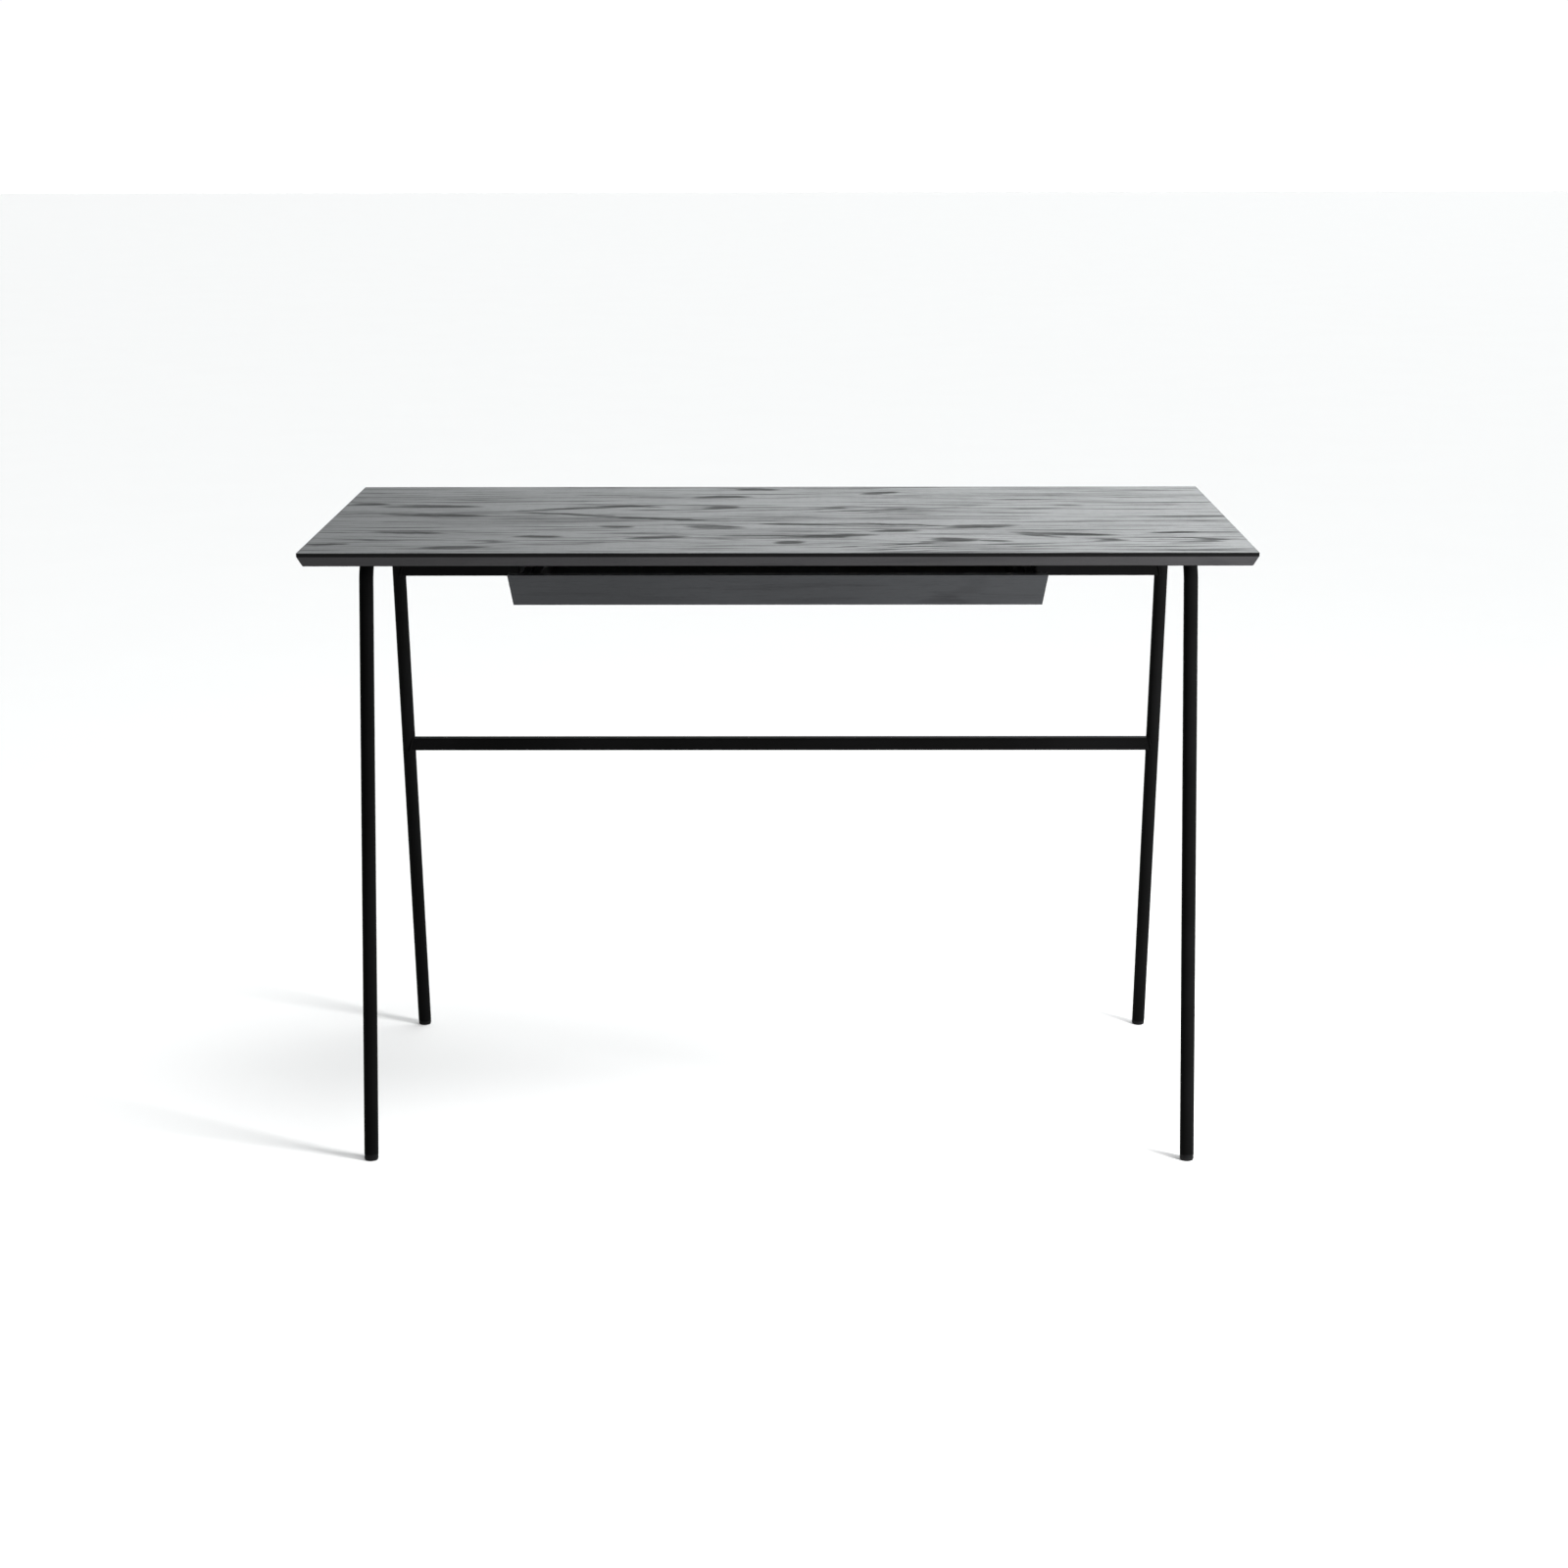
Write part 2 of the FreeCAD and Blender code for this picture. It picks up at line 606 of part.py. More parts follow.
def slot(body, name, role, corners, length, offset=None, **options):
    sketch = new_sketch(body, name, role, offset)
    rectangle(sketch, *corners)
    return pocket(body, sketch, length, **options)


drawer_front = new_body("drawer_front")
front_face = new_sketch(drawer_front, "front_face", "XZ_Plane", XZ_AT % BOX_FRONT)
outline(front_face, [
    ("-(%s - Dims.front_slope)" % FRONT_HALF, FRONT_BOTTOM),
    ("%s - Dims.front_slope" % FRONT_HALF, FRONT_BOTTOM),
    (FRONT_HALF, FRONT_TOP),
    ("-(%s)" % FRONT_HALF, FRONT_TOP),
])
pad(drawer_front, front_face, "Dims.front_thickness")
lean_back = new_sketch(drawer_front, "lean_back", "YZ_Plane")
outline(lean_back, [
    (FRONT_Y, FRONT_TOP),
    (FRONT_Y + " + Dims.front_slope", FRONT_BOTTOM),
    (FRONT_Y + " + Dims.front_slope", FRONT_BOTTOM + " - 5"),
    (FRONT_Y + " - 5", FRONT_BOTTOM + " - 5"),
    (FRONT_Y + " - 5", FRONT_TOP),
])
pocket(drawer_front, lean_back, "Dims.front_width + 20", symmetric=True)
slot(
    drawer_front, "front_groove", "XY_Plane",
    (
        "-(%s + Dims.groove_depth)" % SIDE_IN, "%s - Dims.groove_depth" % BOX_FRONT,
        "%s + Dims.groove_depth" % SIDE_IN, "%s + 2" % BOX_FRONT,
    ),
    "Dims.panel + 2 * Dims.groove_fit", PANEL_Z + " - Dims.groove_fit", reverse=True,
)
screw_holes(
    drawer_front, "front_dowel_holes", "XZ_Plane", DOWEL_SPOTS, "2.55", "9.5", XZ_AT % BOX_FRONT,
    reverse=True,
)

right_side = new_body("drawer_right_side")
side_section = new_sketch(right_side, "side_section", "XZ_Plane", XZ_AT % BOX_BACK)
rectangle(side_section, SIDE_IN, BOX_BOTTOM, BOX_X, BOX_TOP)
pad(right_side, side_section, "Dims.box_depth")
slot(
    right_side, "side_groove", "XZ_Plane",
    (
        "%s - 2" % SIDE_IN, PANEL_Z + " - Dims.groove_fit",
        "%s + Dims.groove_depth" % SIDE_IN, PANEL_TOP + " + Dims.groove_fit",
    ),
    "Dims.box_depth + 20", XZ_AT % (BOX_FRONT + " - 10"), reverse=False,
)
screw_holes(
    right_side, "side_dowel_holes", "XZ_Plane",
    [spot for spot in DOWEL_SPOTS if not spot[0].startswith("-")],
    "2.55", "14.5", XZ_AT % BOX_FRONT, reverse=False,
)
screw_holes(right_side, "side_back_holes", "YZ_Plane", BACK_SPOTS, HOLE_R, "14", BOX_X)
screw_holes(right_side, "side_back_recess", "YZ_Plane", BACK_SPOTS, "3.5", "2.2", BOX_X)
screw_holes(right_side, "side_slide_pilots", "YZ_Plane", BOLT_SPOTS, HOLE_R, "8", BOX_X)
mirror_of("drawer_left_side", right_side, Vec(1, 0, 0))

drawer_back = new_body("drawer_back")
back_face = new_sketch(drawer_back, "back_face", "XZ_Plane", XZ_AT % BOX_BACK)
rectangle(back_face, "-(%s)" % SIDE_IN, PANEL_TOP, SIDE_IN, BOX_TOP)
pad(drawer_back, back_face, "Dims.board")
for end, offset, turned in (("right", SIDE_IN, False), ("left", "-(%s)" % SIDE_IN, True)):
    screw_holes(
        drawer_back, "back_%s_pilots" % end, "YZ_Plane", BACK_SPOTS, HOLE_R, "18", offset,
        reverse=turned,
    )
screw_holes(
    drawer_back, "back_panel_pilots", "XY_Plane", PANEL_SPOTS, HOLE_R, "9", PANEL_TOP, reverse=True
)

drawer_bottom = new_body("drawer_bottom")
panel_outline = new_sketch(drawer_bottom, "panel_outline", "XY_Plane", PANEL_Z)
rectangle(
    panel_outline,
    "-(%s + Dims.groove_depth - 0.2)" % SIDE_IN, "%s - Dims.groove_depth + 0.2" % BOX_FRONT,
    "%s + Dims.groove_depth - 0.2" % SIDE_IN, BOX_BACK,
)
pad(drawer_bottom, panel_outline, "Dims.panel")
screw_holes(
    drawer_bottom, "panel_holes", "XY_Plane", PANEL_SPOTS, HOLE_R, "Dims.panel + 2", PANEL_Z,
    reverse=True,
)

drawer_dowels = pins("drawer_dowels", [
    ("XZ_Plane", XZ_AT % (BOX_FRONT + " - 9"), DOWEL_SPOTS, "2.5", "23", False, None, None),
])
drawer_back_screws = pins("drawer_back_screws", [
    ("YZ_Plane", "%s - 2" % BOX_X, BACK_SPOTS, SCREW_R, "24", False, "3.4", "1.9"),
    ("YZ_Plane", "-(%s - 2)" % BOX_X, BACK_SPOTS, SCREW_R, "24", True, "3.4", "1.9"),
])
drawer_bottom_screws = pins("drawer_bottom_screws", [
    ("XY_Plane", PANEL_Z, PANEL_SPOTS, SCREW_R, "12", True, "3.4", "2"),
])

# --- Check every object, then write one file for each piece. ----------------------------------

doc.recompute()
for item in doc.Objects:
    if "Invalid" in item.State or "Error" in item.State:
        raise RuntimeError("%s is %s" % (item.Name, item.State))
for node in nodes:
    shape = node.Shape
    if shape.isNull() or not shape.isValid() or not shape.Solids:
        raise RuntimeError("%s has no sound shape" % node.Label)
    shape.exportStep("parts/%s.step" % node.Label)
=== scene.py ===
import math

import bmesh
import bpy
from mathutils import Matrix, Vector


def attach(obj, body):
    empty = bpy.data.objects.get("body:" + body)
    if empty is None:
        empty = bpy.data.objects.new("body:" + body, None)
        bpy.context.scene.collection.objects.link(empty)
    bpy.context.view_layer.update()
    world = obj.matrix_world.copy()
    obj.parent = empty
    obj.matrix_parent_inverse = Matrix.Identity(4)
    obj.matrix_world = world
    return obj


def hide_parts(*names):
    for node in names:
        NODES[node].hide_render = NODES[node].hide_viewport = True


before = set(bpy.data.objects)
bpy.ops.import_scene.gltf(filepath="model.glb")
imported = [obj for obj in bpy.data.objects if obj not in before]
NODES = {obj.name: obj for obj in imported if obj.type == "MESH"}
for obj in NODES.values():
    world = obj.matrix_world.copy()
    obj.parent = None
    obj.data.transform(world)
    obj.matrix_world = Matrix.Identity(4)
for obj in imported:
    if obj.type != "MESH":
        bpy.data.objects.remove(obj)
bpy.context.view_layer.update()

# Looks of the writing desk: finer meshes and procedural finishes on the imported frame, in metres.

DESK, DRAWER = "desk", "drawer"

# ---------------------------------------------------------------------------------------------
# Materials. Every pattern uses Object coordinates, which are the row frame at rest.
# ---------------------------------------------------------------------------------------------


class Maker:
    """Short calls for building one node material."""

    def __init__(self, name):
        self.mat = bpy.data.materials.new(name)
        self.mat.use_nodes = True
        self.tree = self.mat.node_tree
        self.tree.nodes.clear()
        self.out = self.add("ShaderNodeOutputMaterial")
        self.shader = self.add("ShaderNodeBsdfPrincipled")
        self.link(self.shader.outputs[0], self.out.inputs["Surface"])
        self.coords = self.add("ShaderNodeTexCoord").outputs["Object"]

    def add(self, kind, **props):
        node = self.tree.nodes.new(kind)
        for key, value in props.items():
            setattr(node, key, value)
        return node

    def link(self, a, b):
        self.tree.links.new(a, b)

    def feed(self, socket, value):
        if isinstance(value, bpy.types.NodeSocket):
            self.link(value, socket)
        else:
            socket.default_value = value

    def set(self, **values):
        for key, value in values.items():
            self.shader.inputs[key.replace("_", " ")].default_value = value

    def math(self, operation, a, b=0.0, c=0.0, clamp=False):
        node = self.add("ShaderNodeMath", operation=operation, use_clamp=clamp)
        for socket, value in zip(node.inputs, (a, b, c)):
            self.feed(socket, value)
        return node.outputs[0]

    def scaled(self, scale, turn=(0.0, 0.0, 0.0), shift=(0.0, 0.0, 0.0), source=None):
        node = self.add("ShaderNodeMapping")
        self.link(source or self.coords, node.inputs["Vector"])
        node.inputs["Location"].default_value = shift
        node.inputs["Rotation"].default_value = turn
        node.inputs["Scale"].default_value = scale
        return node.outputs[0]

    def noise(self, vector, scale=1.0, detail=4.0, rough=0.55, warp=0.0):
        node = self.add("ShaderNodeTexNoise")
        self.link(vector, node.inputs["Vector"])
        node.inputs["Scale"].default_value = scale
        node.inputs["Detail"].default_value = detail
        node.inputs["Roughness"].default_value = rough
        node.inputs["Distortion"].default_value = warp
        return node.outputs[0]

    def voronoi(self, vector, scale, feature="F1"):
        node = self.add("ShaderNodeTexVoronoi", feature=feature)
        self.link(vector, node.inputs["Vector"])
        node.inputs["Scale"].default_value = scale
        return node.outputs["Distance"]

    def ramp(self, value, *stops):
        """Greys or colours against position, as pairs."""
        node = self.add("ShaderNodeValToRGB")
        self.link(value, node.inputs["Fac"])
        band = node.color_ramp.elements
        while len(band) < len(stops):
            band.new(0.5)
        for item, (place, colour) in zip(band, stops):
            item.position = place
            item.color = (*colour, 1.0) if isinstance(colour, tuple) else (colour,) * 3 + (1.0,)
        return node.outputs["Color"]

    def smooth(self, value, low, high, to_low=0.0, to_high=1.0):
        node = self.add("ShaderNodeMapRange", interpolation_type="SMOOTHSTEP")
        self.link(value, node.inputs["Value"])
        for key, number in (("From Min", low), ("From Max", high), ("To Min", to_low), ("To Max", to_high)):
            node.inputs[key].default_value = number
        return node.outputs["Result"]

    def mix(self, factor, a, b, blend="MIX"):
        node = self.add("ShaderNodeMix", data_type="RGBA", blend_type=blend)
        self.feed(node.inputs["Factor"], factor)
        for socket, value in ((node.inputs[6], a), (node.inputs[7], b)):
            self.feed(socket, value if isinstance(value, bpy.types.NodeSocket) else (*value, 1.0))
        return node.outputs[2]

    def bump(self, height, distance, strength=1.0, below=None):
        node = self.add("ShaderNodeBump")
        self.link(height, node.inputs["Height"])
        node.inputs["Distance"].default_value = distance
        node.inputs["Strength"].default_value = strength
        if below is not None:
            self.link(below, node.inputs["Normal"])
        return node.outputs[0]

    def finish(self, colour, rough, normal):
        self.link(colour, self.shader.inputs["Base Color"])
        self.feed(self.shader.inputs["Roughness"], rough)
        self.link(normal, self.shader.inputs["Normal"])
        return self.mat


# Darker latewood of the crown-cut figure on the top: middle x and y, half length, half width, slope.
# These rows aren't worked out here: the ends of streaks were read by eye off the photograph, and a scratch
# program carried them onto the top through the fitted camera and printed them.
FIGURE = (
    (-0.439, 0.095, 0.056, 0.014, -0.01),
    (-0.427, 0.020, 0.058, 0.013, -0.08),
    (-0.375, -0.237, 0.038, 0.012, 0.09),
    (-0.076, -0.080, 0.033, 0.014, -0.15),
    (-0.142, -0.161, 0.034, 0.011, 0.20),
    (-0.074, 0.183, 0.034, 0.014, 0.07),
    (-0.029, 0.251, 0.026, 0.012, -0.04),
    (-0.285, -0.153, 0.027, 0.009, -0.01),
    (-0.236, 0.085, 0.090, 0.009, 0.31),
    (-0.201, 0.010, 0.125, 0.009, -0.31),
    (-0.197, -0.075, 0.020, 0.010, -0.11),
    (-0.520, 0.113, 0.023, 0.010, -0.16),
    (0.014, -0.198, 0.017, 0.012, 0.17),
    (-0.527, -0.212, 0.024, 0.008, 0.12),
    (0.028, -0.057, 0.045, 0.010, -0.06),
    (0.137, -0.059, 0.067, 0.006, -0.19),
    (0.244, -0.074, 0.041, 0.013, 0.15),
    (0.074, -0.148, 0.041, 0.012, 0.14),
    (0.139, -0.110, 0.028, 0.010, 0.14),
    (0.209, -0.182, 0.027, 0.014, -0.09),
    (0.343, -0.136, 0.056, 0.009, -0.17),
    (0.311, -0.149, 0.025, 0.008, -0.56),
    (0.130, 0.216, 0.023, 0.011, 0.35),
    (0.254, -0.192, 0.019, 0.009, -0.21),
    (0.469, -0.127, 0.030, 0.008, 0.20),
    (-0.444, -0.122, 0.042, 0.008, -0.10),
)


def crown_figure(m, x, y, sway, ragged):
    """Mask of the latewood patches listed in FIGURE, broken up along the grain."""
    nearest = None
    frayed = m.math("MULTIPLY_ADD", ragged, 0.022, m.math("ADD", y, -0.026))
    drift = m.math("MULTIPLY_ADD", sway, 0.03, frayed)
    for middle_x, middle_y, half_length, half_width, slope in FIGURE:
        u = m.math("SUBTRACT", x, middle_x)
        v = m.math("MULTIPLY_ADD", u, -slope, m.math("SUBTRACT", drift, middle_y))
        u = m.math("MULTIPLY", u, 1.0 / half_length)
        v = m.math("MULTIPLY", v, 1.0 / half_width)
        reach = m.math("MULTIPLY_ADD", u, u, m.math("MULTIPLY", v, v))
        nearest = reach if nearest is None else m.math("MINIMUM", nearest, reach)
    return m.smooth(nearest, 0.25, 1.7, 1.0, 0.0)


def painted_rim_shade(m):
    """Mask of the upright edge of the desk's top: painted shade, coloured near black."""
    place = m.add("ShaderNodeSeparateXYZ")
    m.link(m.coords, place.inputs[0])
    high = m.smooth(place.outputs[2], 0.7349, 0.7354)
    ahead = m.smooth(m.math("ABSOLUTE", place.outputs[1]), 0.2790, 0.2797)
    aside = m.smooth(m.math("ABSOLUTE", place.outputs[0]), 0.5490, 0.5497)
    return m.math("MULTIPLY", high, m.math("MAXIMUM", ahead, aside))


def stained_wood(
    name, along, pale, dark, leaf=0.28, shift=0.0, rings=13.0, streak=1.0, gloss=0.42, figured=False
):
    """Black-stained open-pored wood with crown-cut figure; the grain runs along axis 0 or 1.

    leaf is the width of one veneer leaf, rings the count of growth rings across it, and streak
    the strength of the dark latewood. figured adds the patches of FIGURE.
    """
    m = Maker(name)
    turn = (0.0, 0.0, 0.0) if along == 0 else (0.0, 0.0, math.pi / 2)
    base = m.scaled((1.0, 1.0, 1.0), turn=turn, shift=(shift, 0.0, 0.0))
    sway = m.noise(m.scaled((1.6, 5.0, 5.0), source=base), detail=2.0)
    wobble = m.noise(m.scaled((9.0, 60.0, 60.0), source=base), detail=3.0)
    parts = m.add("ShaderNodeSeparateXYZ")
    m.link(base, parts.inputs[0])
    along_m, across_m = parts.outputs[0], parts.outputs[1]
    bent = m.math("MULTIPLY_ADD", sway, 0.09, across_m)
    cell = m.math("FRACT", m.math("DIVIDE", bent, leaf))
    off = m.math("SUBTRACT", cell, 0.5)
    crown = m.math("MULTIPLY", m.math("MULTIPLY", off, off), rings * 4.0)
    climb = m.math("MULTIPLY", along_m, 7.0)
    growth = m.math("ADD", m.math("ADD", crown, climb), m.math("MULTIPLY", wobble, 1.3))
    wave = m.math("SINE", m.math("MULTIPLY", growth, 2.0 * math.pi))
    late = m.smooth(wave, 0.25, 1.0)
    patch = m.noise(m.scaled((3.2, 17.0, 17.0), shift=(2.3, 0.4, 0.0), source=base), detail=3.0)
    patch = m.smooth(patch, 0.46, 0.66)
    grain_line = m.math("MULTIPLY", late, patch)
    streaks = m.scaled((5.5, 120.0, 120.0), shift=(0.7, 0.2, 0.0), source=base)
    streaks = m.smooth(m.noise(streaks, detail=4.0, rough=0.6), 0.5, 0.68)
    fine = m.noise(m.scaled((22.0, 900.0, 900.0), source=base), detail=3.0, rough=0.7)
    pores = m.smooth(m.noise(m.scaled((70.0, 1900.0, 1900.0), source=base), detail=2.0, rough=0.5), 0.58, 0.7)
    cloud = m.noise(m.scaled((2.0, 4.0, 4.0), shift=(5.0, 0.0, 0.0), source=base), detail=3.0)
    depth = m.math("MULTIPLY", streaks, 0.7 * streak)
    depth = m.math("MULTIPLY_ADD", grain_line, 0.75 * streak, depth, clamp=True)
    depth = m.math("MULTIPLY_ADD", pores, 0.28, depth, clamp=True)
    if figured:
        fibres = m.noise(m.scaled((9.0, 200.0, 200.0), source=base), detail=4.0, rough=0.65)
        fibres = m.smooth(fibres, 0.36, 0.56, 0.15, 1.0)
        ragged = m.noise(m.scaled((30.0, 110.0, 110.0), source=base), detail=3.0, rough=0.6)
        figure = m.math("MULTIPLY", crown_figure(m, along_m, across_m, sway, ragged), fibres)
        depth = m.math("MULTIPLY_ADD", figure, 0.95, m.math("MULTIPLY", depth, 0.85), clamp=True)
    tone = m.mix(m.smooth(cloud, 0.3, 0.7, 0.0, 1.0), tuple(0.8 * c for c in pale), pale)
    tone = m.mix(m.math("MULTIPLY", fine, 0.45), tone, dark)
    # Painted shade: the upright edge of the top is coloured near black.
    colour = m.mix(painted_rim_shade(m), m.mix(depth, tone, dark), (0.0012, 0.0012, 0.0013))
    rough = m.math("MULTIPLY_ADD", depth, 0.4, m.math("MULTIPLY_ADD", fine, 0.12, 0.36))
    height = m.math("SUBTRACT", 1.0, m.math("MULTIPLY_ADD", pores, 0.6, m.math("MULTIPLY", depth, 0.4)))
    normal = m.bump(height, 0.00012, 0.8, below=m.bump(fine, 0.00004, 0.6))
    m.set(Specular_IOR_Level=gloss)
    return m.finish(colour, rough, normal)


def powder_coat(name, tone=0.0022):
    """Fine-textured black powder coat on steel."""
    m = Maker(name)
    grit = m.noise(m.scaled((1.0, 1.0, 1.0)), scale=1500.0, detail=2.0)
    peel = m.noise(m.scaled((1.0, 1.0, 1.0)), scale=320.0, detail=2.0)
    cloud = m.noise(m.scaled((1.0, 1.0, 1.0)), scale=9.0, detail=3.0)
    colour = m.mix(m.smooth(cloud, 0.3, 0.7), (tone * 0.8,) * 3, (tone * 1.15, tone * 1.15, tone * 1.2))
    colour = m.mix(m.smooth(grit, 0.62, 0.74, 0.0, 0.5), colour, (tone * 2.4,) * 3)
    rough = m.math("MULTIPLY_ADD", cloud, 0.1, m.math("MULTIPLY_ADD", grit, 0.1, 0.48))
    normal = m.bump(grit, 0.00003, 0.7, below=m.bump(peel, 0.00006, 0.5))
    m.set(IOR=1.08)
    return m.finish(colour, rough, normal)


def zinc_plate(name):
    """Black zinc-plated steel with faint drawing lines along Y and cloudy passivation."""
    m = Maker(name)
    lines = m.noise(m.scaled((1500.0, 12.0, 1500.0)), detail=3.0)
    cloud = m.noise(m.scaled((60.0, 22.0, 60.0)), detail=4.0, rough=0.65)
    dull, middling, bright = (0.040, 0.041, 0.044), (0.062, 0.063, 0.065), (0.085, 0.084, 0.081)
    colour = m.ramp(cloud, (0.3, dull), (0.55, middling), (0.75, bright))
    rough = m.math("MULTIPLY_ADD", lines, 0.18, m.math("MULTIPLY_ADD", cloud, 0.16, 0.2))
    m.set(Metallic=1.0)
    return m.finish(colour, rough, m.bump(lines, 0.00002, 0.6))


def moulded_plastic(name):
    """Matte black moulded plastic with a spark-eroded texture and scuffs near the floor."""
    m = Maker(name)
    stipple = m.voronoi(m.scaled((1.0, 1.0, 1.0)), 1700.0)
    scuff = m.smooth(m.noise(m.scaled((140.0, 140.0, 900.0)), detail=4.0), 0.55, 0.75)
    low = m.add("ShaderNodeSeparateXYZ")
    m.link(m.coords, low.inputs[0])
    near_floor = m.smooth(low.outputs[2], 0.0, 0.004, 1.0, 0.0)
    worn = m.math("MULTIPLY", scuff, near_floor)
    colour = m.mix(worn, (0.0035, 0.0035, 0.0037), (0.016, 0.0155, 0.015))
    rough = m.math("MULTIPLY_ADD", stipple, 0.2, 0.5)
    m.set(Specular_IOR_Level=0.1)
    return m.finish(colour, rough, m.bump(stipple, 0.00003, 0.5))


def ply(name, thickness_axis, pale=(0.014, 0.014, 0.0145)):
    """Black-stained thin plywood: quiet face grain along the board, laminations on its edges. Its default
    tone is darker than the stain alone, as painted shade for the sides and back seen in the gap above the
    drawer.
    """
    m = Maker(name)
    stretch = (60.0, 8.0, 420.0) if thickness_axis == 0 else (8.0, 60.0, 420.0)
    face = m.noise(m.scaled(stretch), detail=5.0, rough=0.65)
    fine = m.noise(m.scaled((900.0, 30.0, 900.0)), detail=3.0)
    place = m.add("ShaderNodeSeparateXYZ")
    m.link(m.coords, place.inputs[0])
    layers = m.math("FRACT", m.math("MULTIPLY", place.outputs[thickness_axis], 1.0 / 0.0028))
    sheet = m.smooth(layers, 0.42, 0.58)
    colour = m.mix(m.smooth(face, 0.35, 0.68), tuple(0.45 * c for c in pale), pale)
    colour = m.mix(m.math("MULTIPLY", sheet, 0.3), colour, tuple(0.3 * c for c in pale))
    rough = m.math("MULTIPLY_ADD", face, 0.2, 0.45)
    normal = m.bump(fine, 0.00005, 0.6, below=m.bump(face, 0.0001, 0.5))
    m.set(Specular_IOR_Level=0.1)
    return m.finish(colour, rough, normal)


def fibre(name, pale, dark):
    """Fibreboard or turned beech: short pressed fibres."""
    m = Maker(name)
    flakes = m.noise(m.scaled((420.0, 420.0, 900.0)), detail=5.0, rough=0.7)
    colour = m.mix(m.smooth(flakes, 0.3, 0.7), dark, pale)
    rough = m.math("MULTIPLY_ADD", flakes, 0.2, 0.65)
    return m.finish(colour, rough, m.bump(flakes, 0.0001, 0.5))


PALE, DARK = (0.112, 0.116, 0.121), (0.010, 0.010, 0.011)
# Painted shade: the lipping, drawer face and underside tones are far darker copies of the top's stained wood,
# for faces turned from the light.
EDGE_SHADE_PALE = (0.022, 0.0214, 0.0225)
FACE_SHADE_PALE = (0.0265, 0.028, 0.030)
UNDER_SHADE_PALE, UNDER_SHADE_DARK = (0.012, 0.012, 0.0125), (0.004, 0.004, 0.004)
NARROW = {"leaf": 0.09, "rings": 2.0, "streak": 0.4, "gloss": 0.12}
MATERIALS = {
    "stained_veneer": stained_wood("stained veneer", 0, PALE, DARK, streak=1.1, figured=True),
    "underside": stained_wood("stained underside", 0, UNDER_SHADE_PALE, UNDER_SHADE_DARK, shift=1.7, gloss=0.05),
    "lipping_x": stained_wood("stained lipping along X", 0, EDGE_SHADE_PALE, DARK, shift=0.31, **NARROW),
    "lipping_y": stained_wood("stained lipping along Y", 1, EDGE_SHADE_PALE, DARK, shift=0.63, **NARROW),
    "drawer_face": stained_wood(
        "stained drawer face", 0, FACE_SHADE_PALE, DARK, leaf=0.13, shift=0.87, rings=3.0, streak=0.45, gloss=0.14
    ),
    "black_steel": powder_coat("black powder coat"),
    "zinc_steel": zinc_plate("zinc plate"),
    "black_plastic": moulded_plastic("matte black plastic"),
    # Partly painted shade: the sides and back keep the darkened default ply tone, darker than the bottom, for
    # the deep shade in the gap above the drawer.
    "side_ply": ply("black ply sides", 0),
    "back_ply": ply("black ply back", 1),
    "bottom_ply": ply("black ply bottom", 2, pale=(0.04, 0.04, 0.042)),
    "core_board": fibre("raw fibreboard", (0.42, 0.31, 0.2), (0.28, 0.19, 0.12)),
    "beech": fibre("raw beech", (0.62, 0.45, 0.3), (0.45, 0.3, 0.18)),
}


def dress(name, key):
    data = NODES[name].data
    data.materials.clear()
    data.materials.append(MATERIALS[key])


FINISH = {
    "stained_veneer": ["top_veneer"],
    "underside": ["underside_veneer"],
    "lipping_x": ["front_lipping", "rear_lipping"],
    "lipping_y": ["left_lipping", "right_lipping"],
    "drawer_face": ["drawer_front"],
    "core_board": ["tabletop_core"],
    "black_steel": [
        "left_side_frame", "right_side_frame", "rear_rail", "stretcher", "front_left_tab", "front_right_tab",
        "rear_left_tab", "rear_right_tab", "left_hanger", "right_hanger",
    ],
    "black_plastic": ["front_left_foot", "front_right_foot", "rear_left_foot", "rear_right_foot"],
    "zinc_steel": [
        "tab_screws", "hanger_screws", "slide_bolts", "slide_screws",
        "drawer_back_screws", "drawer_bottom_screws",
        "left_slide_outer", "right_slide_outer", "left_slide_middle", "right_slide_middle",
        "left_slide_inner", "right_slide_inner",
    ],
    "side_ply": ["drawer_left_side", "drawer_right_side"],
    "back_ply": ["drawer_back"],
    "bottom_ply": ["drawer_bottom"],
    "beech": ["drawer_dowels"],
}
for key, names in FINISH.items():
    for name in names:
        dress(name, key)

# ---------------------------------------------------------------------------------------------
# Finer meshes. Sizes in metres, as in the CAD.
# ---------------------------------------------------------------------------------------------

FRAME_X = 0.491
FOOT_Y = 0.2635
LEAN = math.radians(10.05)
TUBE_R, TUBE_WALL = 0.0085, 0.0015
RUN_Z = 0.7155
TAB_BOTTOM = 0.721
BEND = 0.040
FOOT_RISE = 0.007
RAIL_HALF = 0.008
RAILS = {"rear_rail": 0.652, "stretcher": 0.412}
SIDES = {"left": -1.0, "right": 1.0}
ENDS = {"front": -1.0, "rear": 1.0}


def leg_y(z):
    """Distance of a leg's axis from the middle of the desk, at height z."""
    return FOOT_Y - z * math.tan(LEAN)


def put(name, mesh, body, slot, key, *replaced, smooth_angle=32.0):
    for polygon in mesh.polygons:
        polygon.use_smooth = True
    item = bpy.data.objects.new(name, mesh)
    bpy.context.scene.collection.objects.link(item)
    mesh.set_sharp_from_angle(angle=math.radians(smooth_angle))
    mesh.materials.append(MATERIALS[key])
    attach(item, body)
    if replaced:
        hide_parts(*replaced)
    return item


def mesh_of(name, verts, faces):
    mesh = bpy.data.meshes.new(name)
    mesh.from_pydata([tuple(v) for v in verts], [], faces)
    mesh.update()
    return mesh


